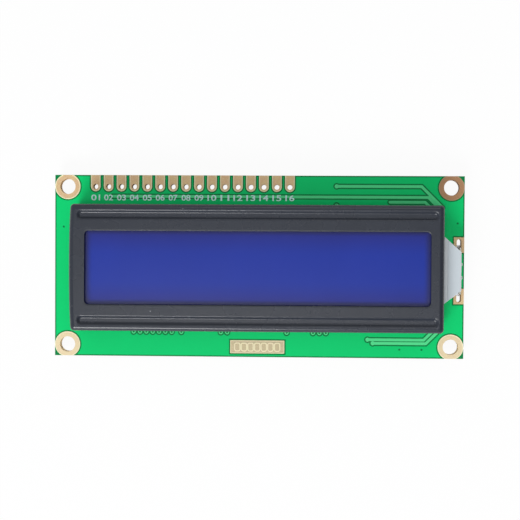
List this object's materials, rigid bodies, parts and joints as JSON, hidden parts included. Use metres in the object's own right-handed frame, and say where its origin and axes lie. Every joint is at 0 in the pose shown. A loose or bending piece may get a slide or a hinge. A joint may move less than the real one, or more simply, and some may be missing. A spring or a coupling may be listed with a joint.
{
  "type": "character lcd module",
  "caption": "Character display module: a blue liquid-crystal panel in a black steel bezel with a side-lit backlight, on a green circuit board with a row of pin holes and corner mounting holes.",
  "frame": {"origin": "under the middle of the board, on the surface that the module stands on", "axes": "+X along the pin row towards the backlight's nose, +Y from the display to the pin row, +Z out of the display"},
  "size_m": [0.08, 0.0356, 0.0103],
  "materials": {
    "board_laminate": "glass-fibre laminate under a green solder mask, semi-gloss",
    "green_mask": "copper under a green solder mask, semi-gloss",
    "gold_plate": "thin gold plating, satin",
    "black_steel": "sheet steel with a black coat, satin",
    "display_film": "blue polarising film, smooth",
    "display_glass": "clear sheet glass, polished",
    "rear_film": "grey polarising film, smooth",
    "clear_resin": "hardened resin, glossy",
    "strip_rubber": "striped silicone rubber, matt",
    "white_film": "white diffusing film, matt",
    "white_tape": "white tape, matt",
    "milky_acrylic": "clear acrylic with a milky surface, polished",
    "lamp_laminate": "white-masked laminate",
    "lamp_body": "white lamp body with a yellow phosphor face",
    "solder": "tin solder, bright",
    "tinned_wire": "tinned copper strip, satin",
    "black_epoxy": "black epoxy, semi-gloss",
    "resistor_coat": "black overglaze on ceramic",
    "capacitor_ceramic": "tan ceramic, matt"
  },
  "bodies": {
    "root": {"circuit_board": "board_laminate", "front_ground_copper": "green_mask", "front_traces": "green_mask", "back_traces": "green_mask", "mounting_hole_lands": "gold_plate", "pin_pads": "gold_plate", "backlight_pads": "gold_plate", "marking_pad": "gold_plate", "contact_fingers": "gold_plate", "tab_lands": "gold_plate", "component_lands": "gold_plate", "bezel": "black_steel", "front_polariser": "display_film", "upper_glass": "display_glass", "lower_glass": "display_glass", "rear_polariser": "rear_film", "fill_hole_seal": "clear_resin", "upper_contact_strip": "strip_rubber", "lower_contact_strip": "strip_rubber", "diffuser_film": "white_film", "light_guide": "milky_acrylic", "reflector_film": "white_film", "nose_tape": "white_tape", "lamp_board": "lamp_laminate", "lamps": "lamp_body", "lamp_solder": "solder", "backlight_leads": "tinned_wire", "lead_solder": "solder", "controller_blob": "black_epoxy", "driver_blob": "black_epoxy", "chip_resistors": "resistor_coat", "chip_capacitors": "capacitor_ceramic", "chip_terminals": "solder", "chip_solder": "solder"}
  },
  "joints": []
}
